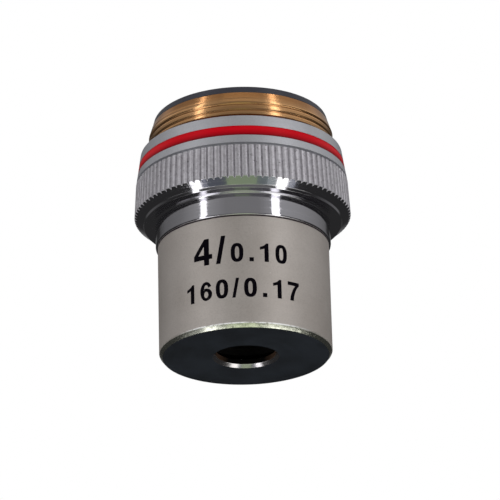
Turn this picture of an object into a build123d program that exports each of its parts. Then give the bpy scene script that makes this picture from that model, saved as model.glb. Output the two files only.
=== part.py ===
from build123d import *
from math import copysign, cos, radians, sin, sqrt, tan
import os

# Low power microscope objective, in millimetres.
# The axis is Z. The front face, which looks at the specimen, lies at Z = 0 and the
# mounting thread points up, as the objective hangs in a nosepiece.

# Mounting thread, 0.8 inch by 36 turns to the inch, drawn at its crest
thread_radius = 10.13
thread_length = 3.3
thread_relief_depth = 0.58
thread_relief_width = 0.6
thread_lead_length = 1.2
thread_lead_depth = 0.39

# Barrel sleeve
barrel_radius = 9.3
barrel_height = 12.6
barrel_wall = 1.05
front_wall = 0.9
front_edge_width = 0.38
front_edge_height = 0.46
front_hole_radius = 3.2
front_hole_chamfer = 0.35
barrel_top_chamfer = 0.1

# Shoulder: its seat stands proud of a shallow relief round the thread
seat_relief_width = 0.12
seat_relief_depth = 0.1

# Neck and polished underside of the grip ring
neck_step = 0.22
neck_height = 2.55
neck_edge_chamfer = 0.15
neck_undercut_height = 0.27
neck_undercut_depth = 0.12
underside_edge_width = 0.09
underside_edge_height = 0.3
underside_chamfer_width = 0.95
underside_chamfer_height = 0.65

# Grip ring: straight knurl of V grooves on a slight taper
grip_overhang = 1.67
knurl_height = 3.68
knurl_taper = 3.1
knurl_teeth = 98
knurl_depth = 0.25
knurl_groove_angle = 100
parting_groove_width = 0.28
parting_groove_depth = 0.35

# Smooth tapered band with the enamel groove, up to the shoulder
band_step = 0.05
band_taper = 8.4
lower_band_height = 0.9
colour_groove_width = 1.15
colour_groove_depth = 0.4
enamel_sink = 0.05
upper_band_height = 1.29
shoulder_edge_chamfer = 0.12

# Spigot inside the barrel
spigot_length = 6.6
spigot_wall = 1.25
spigot_end_chamfer = 0.3

# Bore behind the thread, and the black ring that closes it
rear_bore_wall = 0.95
rear_ring_height = 0.8
rear_ring_draft = 0.22
rear_ring_wall = 1.15
rear_ring_spigot = 1.5
rear_ring_chamfer = 0.4
rear_ring_clearance = 0.4

# Clearances
thread_gap = 0.05
slide_gap = 0.05
flange_gap = 0.1
lens_gap = 0.05
touch_gap = 0.01

# Lens tube and what fixes it in the mount
tube_front_gap = 1.1
tube_wall = 0.75
tube_lip_width = 1.2
tube_lip_height = 0.8
tube_flange_height = 1.2
flange_width = 1.55
lower_shim_thickness = 0.2
upper_shim_thickness = 0.1
lock_ring_width = 1.55
lock_ring_height = 1.8

# Spanner slots across the screwed rings
slot_width = 1.0
slot_depth = 0.6

# Front cell, its cemented pair of lenses and their ring
front_cell_wall = 1.6
front_cell_lip_width = 0.85
front_cell_lip_height = 0.8
front_flint_thickness = 1.0
front_crown_thickness = 2.6
front_cement_curve_radius = 12.0
front_crown_curve_radius = -14.0
front_retainer_width = 0.6
front_retainer_height = 1.53

# Spacer tube and aperture stop between the cells
front_spacer_wall = 0.95
stop_thickness = 0.4
stop_width = 3.0
rear_spacer_wall = 0.75
rear_spacer_length = 2.2

# Rear cell, its cemented pair of lenses and their ring
rear_cell_wall = 0.6
rear_cell_lip_width = 0.65
rear_cell_lip_height = 0.8
rear_crown_curve_radius = 18.0
rear_crown_thickness = 3.0
rear_cement_curve_radius = -13.0
rear_flint_thickness = 1.1
rear_retainer_width = 0.6
rear_retainer_height = 1.55

# Ring that holds the stack of cells in the tube
stack_ring_width = 0.85
stack_ring_height = 0.9
stack_ring_recess = 1.1

# Heights of the outside, from the front face up
neck_top = barrel_height + neck_height
edge_top = neck_top + underside_edge_height
knurl_bottom = edge_top + underside_chamfer_height
knurl_top = knurl_bottom + knurl_height
band_bottom = knurl_top + parting_groove_width
colour_bottom = band_bottom + lower_band_height
colour_top = colour_bottom + colour_groove_width
shoulder = colour_top + upper_band_height
relief_top = shoulder + thread_relief_width
thread_top = shoulder + thread_length
lead_bottom = thread_top - thread_lead_length

# Radii of the outside
neck_radius = barrel_radius + neck_step
knurl_bottom_radius = thread_radius + grip_overhang
knurl_top_radius = knurl_bottom_radius - knurl_height * tan(radians(knurl_taper))
edge_radius = knurl_bottom_radius - underside_chamfer_width
band_bottom_radius = knurl_top_radius - band_step
thread_relief_radius = thread_radius - thread_relief_depth
thread_end_radius = thread_radius - thread_lead_depth

# Radii of the inside, from the barrel inward and from the thread inward; the lens tube
# passes both the spigot and the bore behind the thread, so the narrower one sets its bore
barrel_bore_radius = barrel_radius - barrel_wall
spigot_radius = barrel_bore_radius - thread_gap
rear_bore_radius = thread_relief_radius - rear_bore_wall
rear_screw_radius = rear_bore_radius - thread_gap
flange_radius = rear_bore_radius - flange_gap
tube_bore_radius = min(spigot_radius - spigot_wall, flange_radius - flange_width)
tube_radius = tube_bore_radius - slide_gap
cell_bore_radius = tube_radius - tube_wall
cell_radius = cell_bore_radius - slide_gap

# Radii of the seats, lips and lenses in the cells
front_seat_radius = cell_radius - front_cell_wall
front_lip_radius = front_seat_radius - front_cell_lip_width
front_lens_radius = front_seat_radius - lens_gap
front_retainer_radius = front_seat_radius - thread_gap
rear_seat_radius = cell_radius - rear_cell_wall
rear_lip_radius = rear_seat_radius - rear_cell_lip_width
rear_lens_radius = rear_seat_radius - lens_gap
rear_retainer_radius = rear_seat_radius - thread_gap


def band_radius(height):
    """Radius of the smooth tapered band at a height on the axis."""
    return band_bottom_radius - (height - band_bottom) * tan(radians(band_taper))


def sag(curve, radius):
    """Rise of a lens surface above its vertex; a positive curve opens upward, 0 is flat."""
    if curve == 0:
        return 0
    return curve - copysign(sqrt(curve**2 - radius**2), curve)


# Heights behind the thread, from the rear ring down to the bore's floor
rear_ring_bottom = thread_top - rear_ring_spigot
lock_ring_top = rear_ring_bottom - rear_ring_clearance
tube_top = lock_ring_top - lock_ring_height
flange_bottom = tube_top - tube_flange_height
upper_shim_bottom = flange_bottom - upper_shim_thickness
rear_bore_floor = upper_shim_bottom - lower_shim_thickness

# Heights of the front cell, from the tube's lip up; the ring's inner edge bears on the crown
tube_front = front_wall + tube_front_gap
stack_bottom = tube_front + tube_lip_height
front_seat = stack_bottom + front_cell_lip_height
front_cement = front_seat + front_flint_thickness
front_crown_top = front_cement + front_crown_thickness
front_bearing_sag = sag(front_crown_curve_radius, front_retainer_radius - front_retainer_width)
front_retainer_bottom = front_crown_top + front_bearing_sag + touch_gap
front_cell_top = front_retainer_bottom + front_retainer_height

# Heights of the rear cell, from the stack ring down; the crown bears on the lip's inner edge
stack_ring_top = tube_top - stack_ring_recess
rear_cell_top = stack_ring_top - stack_ring_height
rear_flint_top = rear_cell_top - rear_retainer_height
rear_cement = rear_flint_top - rear_flint_thickness
rear_crown_front = rear_cement - rear_crown_thickness
rear_seat = rear_crown_front + sag(rear_crown_curve_radius, rear_lip_radius) - touch_gap
rear_cell_bottom = rear_seat - rear_cell_lip_height
stop_top = rear_cell_bottom - rear_spacer_length
stop_bottom = stop_top - stop_thickness

os.makedirs("parts", exist_ok=True)


def plain_ring(label, outer_radius, inner_radius, bottom, top):
    """A washer or a spacer tube between two heights."""
    with BuildPart() as ring:
        with BuildSketch(Plane.XY.offset(bottom)):
            Circle(outer_radius)
            Circle(inner_radius, mode=Mode.SUBTRACT)
        extrude(amount=top - bottom)
    ring.part.label = label
    return ring.part


def screwed_ring(label, outer_radius, width, bottom, top):
    """A ring with a spanner slot cut across its rear face."""
    with BuildPart() as ring:
        with BuildSketch(Plane.XY.offset(bottom)):
            Circle(outer_radius)
            Circle(outer_radius - width, mode=Mode.SUBTRACT)
        extrude(amount=top - bottom)
        with BuildSketch(Plane.XY.offset(top)):
            Rectangle(3 * outer_radius, slot_width)
        extrude(amount=-slot_depth, mode=Mode.SUBTRACT)
    ring.part.label = label
    return ring.part


def cell_cup(label, seat_radius, lip_radius, bottom, seat, top):
    """A turned cell: a cup whose lip carries a pair of lenses."""
    with BuildPart() as cup:
        with BuildSketch(Plane.XZ):
            with BuildLine():
                Polyline(
                    (lip_radius, bottom),
                    (cell_radius, bottom),
                    (cell_radius, top),
                    (seat_radius, top),
                    (seat_radius, seat),
                    (lip_radius, seat),
                    close=True,
                )
            make_face()
        revolve(axis=Axis.Z)
    cup.part.label = label
    return cup.part


def lens_surface(start_radius, end_radius, vertex, curve):
    """Half the section of a lens surface, drawn into the open line."""
    start = (start_radius, vertex + sag(curve, start_radius))
    end = (end_radius, vertex + sag(curve, end_radius))
    if curve == 0:
        Line(start, end)
    else:
        middle_radius = (start_radius + end_radius) / 2
        ThreePointArc(start, (middle_radius, vertex + sag(curve, middle_radius)), end)


def lens(label, radius, front_vertex, front_curve, rear_vertex, rear_curve):
    """One lens on the axis, from the vertex and curve of each surface."""
    front_edge = front_vertex + sag(front_curve, radius)
    rear_edge = rear_vertex + sag(rear_curve, radius)
    with BuildPart() as element:
        with BuildSketch(Plane.XZ):
            with BuildLine():
                lens_surface(0, radius, front_vertex, front_curve)
                Line((radius, front_edge), (radius, rear_edge))
                lens_surface(radius, 0, rear_vertex, rear_curve)
                Line((0, rear_vertex), (0, front_vertex))
            make_face()
        revolve(axis=Axis.Z)
    element.part.label = label
    return element.part


# Barrel sleeve: a turned cup with a round window in its front wall
with BuildPart() as barrel_sleeve:
    with BuildSketch(Plane.XZ):
        with BuildLine():
            Polyline(
                (front_hole_radius + front_hole_chamfer, 0),
                (barrel_radius - front_edge_width, 0),
                (barrel_radius, front_edge_height),
                (barrel_radius, barrel_height - barrel_top_chamfer),
                (barrel_radius - barrel_top_chamfer, barrel_height),
                (barrel_bore_radius, barrel_height),
                (barrel_bore_radius, front_wall),
                (front_hole_radius, front_wall),
                (front_hole_radius, front_hole_chamfer),
                close=True,
            )
        make_face()
    revolve(axis=Axis.Z)
barrel_sleeve.part.label = "barrel_sleeve"

# One V groove of the knurl, lying along the taper of the ring, with its root at the
# knurl's depth; it runs out below the chamfer and above into the parting groove
taper = radians(knurl_taper)
along_taper = Vector(-sin(taper), 0, cos(taper))
groove_start = Vector(knurl_bottom_radius, 0, knurl_bottom) - along_taper * underside_chamfer_height
groove_length = underside_chamfer_height + knurl_height / cos(taper) + parting_groove_width / 2
groove_half_width = 2 * knurl_depth * tan(radians(knurl_groove_angle / 2))
with BuildPart() as knurl_groove:
    with BuildSketch(Plane(origin=groove_start, x_dir=(cos(taper), 0, sin(taper)), z_dir=along_taper)):
        with BuildLine():
            Polyline(
                (-knurl_depth, 0),
                (knurl_depth, groove_half_width),
                (knurl_depth, -groove_half_width),
                close=True,
            )
        make_face()
    extrude(amount=groove_length)

# Mount body: thread, shoulder, grip ring, neck and inner spigot turned in one piece
spigot_bottom = barrel_height - spigot_length
with BuildPart() as mount_body:
    with BuildSketch(Plane.XZ):
        with BuildLine():
            Polyline(
                (tube_bore_radius, spigot_bottom),
                (spigot_radius - spigot_end_chamfer, spigot_bottom),
                (spigot_radius, spigot_bottom + spigot_end_chamfer),
                (spigot_radius, barrel_height),
                (neck_radius - neck_edge_chamfer, barrel_height),
                (neck_radius, barrel_height + neck_edge_chamfer),
                (neck_radius, neck_top - neck_undercut_height),
                (neck_radius - neck_undercut_depth, neck_top - neck_undercut_height),
                (neck_radius - neck_undercut_depth, neck_top),
                (edge_radius - underside_edge_width, neck_top),
                (edge_radius, edge_top),
                (knurl_bottom_radius, knurl_bottom),
                (knurl_top_radius, knurl_top),
                (band_bottom_radius - parting_groove_depth, knurl_top),
                (band_bottom_radius - parting_groove_depth, band_bottom),
                (band_bottom_radius, band_bottom),
                (band_radius(colour_bottom), colour_bottom),
                (band_radius(colour_bottom) - colour_groove_depth, colour_bottom),
                (band_radius(colour_top) - colour_groove_depth, colour_top),
                (band_radius(colour_top), colour_top),
                (band_radius(shoulder - shoulder_edge_chamfer), shoulder - shoulder_edge_chamfer),
                (band_radius(shoulder) - shoulder_edge_chamfer, shoulder),
                (thread_radius + seat_relief_width, shoulder),
                (thread_radius + seat_relief_width, shoulder - seat_relief_depth),
                (thread_relief_radius, shoulder - seat_relief_depth),
                (thread_relief_radius, relief_top),
                (thread_radius, relief_top),
                (thread_radius, lead_bottom),
                (thread_end_radius, thread_top),
                (rear_bore_radius, thread_top),
                (rear_bore_radius, rear_bore_floor),
                (tube_bore_radius, rear_bore_floor),
                close=True,
            )
        make_face()
    revolve(axis=Axis.Z)
    with PolarLocations(0, knurl_teeth):
        add(knurl_groove.part, mode=Mode.SUBTRACT)
mount_body.part.label = "mount_body"

# Colour band: enamel filling the groove round the grip ring
with BuildPart() as colour_band:
    with BuildSketch(Plane.XZ):
        with BuildLine():
            Polyline(
                (band_radius(colour_bottom) - colour_groove_depth, colour_bottom),
                (band_radius(colour_bottom) - enamel_sink, colour_bottom),
                (band_radius(colour_top) - enamel_sink, colour_top),
                (band_radius(colour_top) - colour_groove_depth, colour_top),
                close=True,
            )
        make_face()
    revolve(axis=Axis.Z)
colour_band.part.label = "colour_band"

# Rear ring: black flanged ring that closes the thread end and baffles the bore
rear_ring_top = thread_top + rear_ring_height
rear_ring_hole_radius = rear_screw_radius - rear_ring_wall
with BuildPart() as rear_ring:
    with BuildSketch(Plane.XZ):
        with BuildLine():
            Polyline(
                (rear_ring_hole_radius, rear_ring_bottom),
                (rear_screw_radius, rear_ring_bottom),
                (rear_screw_radius, thread_top),
                (thread_end_radius, thread_top),
                (thread_end_radius - rear_ring_draft, rear_ring_top),
                (rear_ring_hole_radius + rear_ring_chamfer, rear_ring_top),
                (rear_ring_hole_radius, rear_ring_top - rear_ring_chamfer),
                close=True,
            )
        make_face()
    revolve(axis=Axis.Z)
rear_ring.part.label = "rear_ring"

# Lens tube: the black inner tube that carries the lens cells, flanged at the rear
with BuildPart() as lens_tube:
    with BuildSketch(Plane.XZ):
        with BuildLine():
            Polyline(
                (cell_bore_radius - tube_lip_width, tube_front),
                (tube_radius, tube_front),
                (tube_radius, flange_bottom),
                (flange_radius, flange_bottom),
                (flange_radius, tube_top),
                (cell_bore_radius, tube_top),
                (cell_bore_radius, stack_bottom),
                (cell_bore_radius - tube_lip_width, stack_bottom),
                close=True,
            )
        make_face()
    revolve(axis=Axis.Z)
lens_tube.part.label = "lens_tube"

# Parfocal shims: thin washers under the flange, which set the focus height
parfocal_shims = [
    plain_ring("parfocal_shim_1", flange_radius, tube_bore_radius, rear_bore_floor, upper_shim_bottom),
    plain_ring("parfocal_shim_2", flange_radius, tube_bore_radius, upper_shim_bottom, flange_bottom),
]

# Lock ring: screwed in behind the flange
lock_ring = screwed_ring("lock_ring", rear_screw_radius, lock_ring_width, tube_top, lock_ring_top)

# Front cell with its flint lens, flat in front, and its crown lens cemented behind it
front_cell = cell_cup(
    "front_cell", front_seat_radius, front_lip_radius, stack_bottom, front_seat, front_cell_top
)
front_flint_lens = lens(
    "front_flint_lens", front_lens_radius, front_seat, 0, front_cement, front_cement_curve_radius
)
front_crown_lens = lens(
    "front_crown_lens",
    front_lens_radius,
    front_cement,
    front_cement_curve_radius,
    front_crown_top,
    front_crown_curve_radius,
)
front_retaining_ring = screwed_ring(
    "front_retaining_ring",
    front_retainer_radius,
    front_retainer_width,
    front_retainer_bottom,
    front_cell_top,
)

# Spacer tubes with the black aperture stop between them
front_spacer_tube = plain_ring(
    "front_spacer_tube", cell_radius, cell_radius - front_spacer_wall, front_cell_top, stop_bottom
)
aperture_stop = plain_ring(
    "aperture_stop", cell_radius, cell_radius - stop_width, stop_bottom, stop_top
)
rear_spacer_tube = plain_ring(
    "rear_spacer_tube", cell_radius, cell_radius - rear_spacer_wall, stop_top, rear_cell_bottom
)

# Rear cell with its crown lens in front and its flint lens, flat behind, cemented to it
rear_cell = cell_cup(
    "rear_cell", rear_seat_radius, rear_lip_radius, rear_cell_bottom, rear_seat, rear_cell_top
)
rear_crown_lens = lens(
    "rear_crown_lens",
    rear_lens_radius,
    rear_crown_front,
    rear_crown_curve_radius,
    rear_cement,
    rear_cement_curve_radius,
)
rear_flint_lens = lens(
    "rear_flint_lens", rear_lens_radius, rear_cement, rear_cement_curve_radius, rear_flint_top, 0
)
rear_retaining_ring = screwed_ring(
    "rear_retaining_ring", rear_retainer_radius, rear_retainer_width, rear_flint_top, rear_cell_top
)

# Stack ring: screwed into the lens tube behind the rear cell
stack_ring = screwed_ring("stack_ring", cell_radius, stack_ring_width, rear_cell_top, stack_ring_top)

pieces = [
    barrel_sleeve.part,
    mount_body.part,
    colour_band.part,
    rear_ring.part,
    lens_tube.part,
    lock_ring,
    front_cell,
    front_flint_lens,
    front_crown_lens,
    front_retaining_ring,
    front_spacer_tube,
    aperture_stop,
    rear_spacer_tube,
    rear_cell,
    rear_crown_lens,
    rear_flint_lens,
    rear_retaining_ring,
    stack_ring,
]
for piece in pieces + parfocal_shims:
    export_step(piece, f"parts/{piece.label}.step")
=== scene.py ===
from math import cos, floor, pi, radians, sin, tan

import bmesh
import bpy
from mathutils import Matrix, Vector


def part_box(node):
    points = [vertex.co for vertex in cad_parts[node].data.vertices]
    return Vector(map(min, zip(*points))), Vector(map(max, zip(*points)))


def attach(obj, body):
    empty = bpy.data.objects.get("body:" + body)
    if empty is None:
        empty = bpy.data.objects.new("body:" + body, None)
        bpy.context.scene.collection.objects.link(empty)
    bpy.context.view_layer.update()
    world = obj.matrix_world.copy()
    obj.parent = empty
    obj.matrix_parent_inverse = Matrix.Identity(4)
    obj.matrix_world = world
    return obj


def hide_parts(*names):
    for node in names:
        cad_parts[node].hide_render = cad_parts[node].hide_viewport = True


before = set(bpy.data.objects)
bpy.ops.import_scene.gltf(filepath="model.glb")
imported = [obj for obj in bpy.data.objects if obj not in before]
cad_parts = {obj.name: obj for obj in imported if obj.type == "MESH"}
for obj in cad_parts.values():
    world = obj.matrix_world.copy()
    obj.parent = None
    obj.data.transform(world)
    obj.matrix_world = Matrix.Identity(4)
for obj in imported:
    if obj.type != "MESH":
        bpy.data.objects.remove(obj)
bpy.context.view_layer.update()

# The object is drawn in millimetres and scaled to metres when each mesh is made.
# The axis is Z, the front face lies at Z = 0 and the mounting thread points up.
MM = 0.001

# Merging distance, in metres
WELD = 1e-7

# Mounting thread, 0.8 inch by 36 turns to the inch. Its start, and the flats on its crest and
# in its root, are shares of a pitch, and each pitch gets so many rows of faces.
THREAD_RADIUS = 10.13
THREAD_PITCH = 25.4 / 36
THREAD_DEPTH = 0.15
THREAD_START = 0.45
THREAD_ROWS = 12
CREST_SHARE = 0.58
ROOT_SHARE = 0.06
RELIEF_RADIUS = 9.55
LEAD_START = 25.50
THREAD_TOP = 26.70
LEAD_END_RADIUS = 9.74

# Knurl: straight grooves on a slight taper
TEETH = 98
KNURL_DEPTH = 0.25
KNURL_BOTTOM = 16.10
KNURL_MIDDLE = 18.00
KNURL_TOP = 19.78
KNURL_RADIUS = 11.80
KNURL_TAPER = tan(radians(3.1))
# Angle from the middle of a tooth, and how deep its flank has fallen there,
# both as shares of half a tooth and of the groove's depth
TOOTH_SECTION = (
    (-1.0, 1.0), (-0.82, 0.62), (-0.66, 0.12), (-0.54, 0.0),
    (0.54, 0.0), (0.66, 0.12), (0.82, 0.62),
)

# Rest of the grip ring
NECK_RADIUS = 9.52
NECK_BOTTOM = 12.60
NECK_TOP = 15.15
NECK_FILLET = 0.20
EDGE_RADIUS = 10.85
EDGE_BEVEL = 0.09
EDGE_TOP = 15.45
CHAMFER_SLOPE = (KNURL_BOTTOM - EDGE_TOP) / (KNURL_RADIUS - EDGE_RADIUS)
BAND_BOTTOM = 20.06
BAND_RADIUS = 11.551
BAND_TAPER = tan(radians(8.4))
PARTING_RADIUS = BAND_RADIUS - 0.35
COLOUR_BOTTOM = 20.96
COLOUR_TOP = 22.11
COLOUR_DEPTH = 0.40
ENAMEL_SINK = 0.05
ENAMEL_CROWN = 0.05
SHOULDER = 23.40
SEAT_RADIUS = THREAD_RADIUS + 0.12
SEAT_FLOOR = SHOULDER - 0.10
RELIEF_TOP = SHOULDER + 0.60
REAR_BORE_RADIUS = 8.60
REAR_BORE_FLOOR = 21.50
SPIGOT_RADIUS = 8.20
SPIGOT_BOTTOM = 6.00
TUBE_BORE_RADIUS = 6.95

# Barrel sleeve
BARREL_RADIUS = 9.30
BARREL_BORE = 8.25
FRONT_WALL = 0.90
EDGE_WIDTH = 0.38
EDGE_HEIGHT = 0.46
WORN_WIDTH = 0.06
WORN_BELOW = 0.07
WORN_ABOVE = 0.05
SEAM_HEIGHT = 0.11
SEAM_WIDTH = 0.07
WINDOW_RADIUS = 3.20
WINDOW_CHAMFER = 0.35

# Rear ring
RING_BORE = 7.40
RING_MOUTH = 7.80
RING_MOUTH_CHAMFER = 0.40
RING_SPIGOT = 8.55
RING_DRAFT = 0.22


def band_radius(height):
    """Radius of the smooth tapered band at a height."""
    return BAND_RADIUS - (height - BAND_BOTTOM) * BAND_TAPER


def on_axis(radius, angle, height):
    """A point at a distance from the axis, an angle and a height, in metres."""
    return radius * cos(angle) * MM, radius * sin(angle) * MM, height * MM


# Materials


def rgb(code):
    """An sRGB hex colour as linear red, green, blue and alpha."""
    channels = []
    for start in (1, 3, 5):
        value = int(code[start:start + 2], 16) / 255
        channels.append(value / 12.92 if value <= 0.04045 else ((value + 0.055) / 1.055) ** 2.4)
    return (*channels, 1.0)


def add(tree, kind, inputs=None, stops=(), **settings):
    """Adds a node with its settings, and links or sets its inputs by name or place.

    A hex colour is turned to linear, and stops are a ramp's places and grey values.
    Gives the node's outputs."""
    item = tree.nodes.new(kind)
    for name, value in settings.items():
        setattr(item, name, value)
    for name, value in (inputs or {}).items():
        if isinstance(value, bpy.types.NodeSocket):
            tree.links.new(value, item.inputs[name])
        else:
            item.inputs[name].default_value = rgb(value) if isinstance(value, str) else value
    if stops:
        points = item.color_ramp.elements
        while len(points) < len(stops):
            points.new(1.0)
        for point, (place, grey) in zip(points, stops):
            point.position = place
            point.color = (grey, grey, grey, 1.0)
    return item.outputs


def start_material(name, **constants):
    """A new material with its principled shader and the constants on its own sockets."""
    material = bpy.data.materials.new(name)
    material.use_nodes = True
    tree = material.node_tree
    shader = tree.nodes["Principled BSDF"]
    for socket, value in constants.items():
        shader.inputs[socket.replace("_", " ")].default_value = value
    return material, tree, shader


def unrolled(tree, pitch, per_turn, rise):
    """Object coordinates unrolled round the axis, then height and distance from the axis.

    The first counts cells: so many per turn, with a pitch outward and a rise upward in
    millimetres, so that a noise on it runs round the piece as a lathe's marks do."""
    place = add(tree, "ShaderNodeTexCoord")["Object"]
    parts = add(tree, "ShaderNodeSeparateXYZ", {0: place})
    flat = add(tree, "ShaderNodeCombineXYZ", {0: parts[0], 1: parts[1]})[0]
    reach = add(tree, "ShaderNodeVectorMath", {0: flat}, operation="LENGTH")["Value"]
    angle = add(tree, "ShaderNodeMath", {0: parts[1], 1: parts[0]}, operation="ARCTAN2")[0]
    values = (angle, reach, parts[2])
    scales = (per_turn / (2 * pi), 1 / (pitch * MM), 1 / (rise * MM))
    cells = {
        axis: add(tree, "ShaderNodeMath", {0: value, 1: scale}, operation="MULTIPLY")[0]
        for axis, (value, scale) in enumerate(zip(values, scales))
    }
    return add(tree, "ShaderNodeCombineXYZ", cells)[0], parts[2], reach


def turning_marks(tree, pitch, per_turn, detail=3.0, roughness=0.6):
    """Noise drawn out round the axis, as turning leaves it, with its pitch in millimetres."""
    lines, _, _ = unrolled(tree, pitch, per_turn, pitch)
    marks = {"Vector": lines, "Scale": 1.0, "Detail": detail, "Roughness": roughness}
    return add(tree, "ShaderNodeTexNoise", marks)["Fac"]


def cloud(tree, cell, detail=3.0, roughness=0.6):
    """Noise alike in all directions, with the size of its cells in millimetres."""
    place = add(tree, "ShaderNodeTexCoord")["Object"]
    cells = {"Vector": place, "Scale": 1 / (cell * MM), "Detail": detail, "Roughness": roughness}
    return add(tree, "ShaderNodeTexNoise", cells)["Fac"]


def laid_over(tree, under, over, pattern, stops=((0.0, 0.0), (1.0, 1.0))):
    """One colour laid over another, as thickly as the stops say for a pattern's values."""
    amount = add(tree, "ShaderNodeValToRGB", {0: pattern}, stops)[0]
    return add(tree, "ShaderNodeMix", {0: amount, 6: under, 7: over}, data_type="RGBA")[2]


def dress(tree, shader, tone, wear, roughness, relief=None):
    """Gives the shader its colour, a roughness between two values as the wear grows, and
    a relief: a pattern, its depth in millimetres and its strength."""
    tree.links.new(tone, shader.inputs["Base Color"])
    spread = {"Value": wear, "To Min": roughness[0], "To Max": roughness[1]}
    tree.links.new(add(tree, "ShaderNodeMapRange", spread)["Result"], shader.inputs["Roughness"])
    if relief:
        pattern, depth, strength = relief
        press = {"Height": pattern, "Distance": depth * MM, "Strength": strength}
        tree.links.new(add(tree, "ShaderNodeBump", press)["Normal"], shader.inputs["Normal"])


def satin_nickel(name, colour, stain, pitch, roughness):
    """Satin nickel plate on turned brass: a soft broad shine, with faint lathe lines."""
    material, tree, shader = start_material(name, Metallic=0.8)
    turning = turning_marks(tree, pitch, 6.0)
    tone = laid_over(tree, colour, stain, cloud(tree, 6.0), ((0.35, 0.0), (0.75, 1.0)))
    tone = laid_over(tree, tone, "#6e6a68", turning, ((0.0, 0.0), (1.0, 0.10)))
    grit = cloud(tree, 0.11, 1.0, 0.5)
    tone = laid_over(tree, tone, "#77716e", grit, ((0.30, 0.16), (0.55, 0.0)))
    # Painted highlights: scattered white specks painted into the colour as glints
    painted_glints = cloud(tree, 0.20, 1.0, 0.5)
    tone = laid_over(tree, tone, "#ffffff", painted_glints, ((0.80, 0.0), (0.84, 0.7)))
    grain = cloud(tree, 0.16, 2.0, 0.7)
    relief = add(tree, "ShaderNodeMath", {0: turning, 1: grain}, operation="ADD")[0]
    spread = (roughness - 0.07, roughness + 0.07)
    dress(tree, shader, tone, grain, spread, (relief, 0.004, 0.5))
    return material


def knurled_nickel():
    """The same plate on the knurl: bright rounded crests, and grime with painted shade, darker down
    in the grooves.
    """
    material, tree, shader = start_material("satin_nickel_knurled", Metallic=0.8)
    lines, height, reach = unrolled(tree, 0.3, 6.0, 0.5)
    brushing = {"Vector": lines, "Scale": 1.0, "Detail": 3.0, "Roughness": 0.6}
    marks = add(tree, "ShaderNodeTexNoise", brushing)["Fac"]
    # How deep a point lies in its groove, with the taper taken off
    crest = (KNURL_RADIUS + KNURL_BOTTOM * KNURL_TAPER) * MM
    taper = add(tree, "ShaderNodeMath", {0: height, 1: KNURL_TAPER}, operation="MULTIPLY")[0]
    untapered = add(tree, "ShaderNodeMath", {0: reach, 1: taper}, operation="ADD")[0]
    depth = add(tree, "ShaderNodeMath", {0: crest, 1: untapered}, operation="SUBTRACT")[0]
    depths = {0: depth, 1: KNURL_DEPTH * MM}
    share = add(tree, "ShaderNodeMath", depths, operation="DIVIDE", use_clamp=True)[0]
    patches = cloud(tree, 2.5, 2.0)
    tone = laid_over(tree, "#d0ced4", "#bab6ba", patches, ((0.0, 0.0), (1.0, 0.35)))
    mottle = cloud(tree, 0.45, 4.0, 0.8)
    tone = laid_over(tree, tone, "#7b757d", mottle, ((0.42, 0.0), (0.66, 0.42)))
    # Grime and painted shade: darker the deeper a point lies in its groove
    tone = laid_over(tree, tone, "#57535a", share, ((0.40, 0.0), (1.0, 0.08)))
    specks = cloud(tree, 0.26, 2.0)
    tone = laid_over(tree, tone, "#3f3b42", specks, ((0.64, 0.0), (0.72, 0.75)))
    dress(tree, shader, tone, share, (0.50, 0.60), (marks, 0.006, 0.5))
    return material


def polished_nickel():
    """Turned and polished nickel plate: a near mirror, hazy along the finest turning lines."""
    material, tree, shader = start_material("polished_nickel", Metallic=1.0)
    turning = turning_marks(tree, 0.12, 3.0, 2.0)
    tone = laid_over(tree, "#c4c3cb", "#cfcdd1", cloud(tree, 4.0, 2.0, 0.5))
    haze = add(tree, "ShaderNodeValToRGB", {0: turning}, ((0.38, 0.0), (0.68, 1.0)))[0]
    dress(tree, shader, tone, haze, (0.05, 0.15), (turning, 0.0015, 0.4))
    return material


def scuffed_nickel():
    """Nickel on the front edge: bright, rubbed and nicked in patches."""
    material, tree, shader = start_material("scuffed_nickel", Metallic=1.0)
    scrapes = turning_marks(tree, 0.2, 40.0, 4.0, 0.7)
    nicks = cloud(tree, 0.5, 3.0, 0.7)
    tone = laid_over(tree, "#e4e6d8", "#b6b8ab", nicks, ((0.42, 0.0), (0.62, 1.0)))
    relief = add(tree, "ShaderNodeMath", {0: scrapes, 1: nicks}, operation="ADD")[0]
    dress(tree, shader, tone, nicks, (0.12, 0.40), (relief, 0.02, 0.6))
    return material


def cut_brass():
    """Bare brass, thread cut: warm yellow, dulled brown in patches, with painted shade darker down
    in the thread's roots, and the tool's fine lines round it.
    """
    material, tree, shader = start_material("thread_cut_brass", Metallic=0.93)
    lines, _, reach = unrolled(tree, 0.09, 3.0, 0.09)
    cutting = {"Vector": lines, "Scale": 1.0, "Detail": 3.0, "Roughness": 0.6}
    turning = add(tree, "ShaderNodeTexNoise", cutting)["Fac"]
    # Painted shade: the brass is darker down in the thread's roots and lighter on its crests
    root = (THREAD_RADIUS - THREAD_DEPTH - 0.1) * MM
    climb = {"Value": reach, "From Min": root, "From Max": THREAD_RADIUS * MM}
    crown = add(tree, "ShaderNodeMapRange", climb)["Result"]
    tone = laid_over(tree, "#c08a58", "#d8a774", crown)
    tone = laid_over(tree, tone, "#a5744a", cloud(tree, 3.0), ((0.0, 0.0), (1.0, 0.30)))
    dress(tree, shader, tone, turning, (0.12, 0.24), (turning, 0.006, 0.6))
    return material


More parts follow.
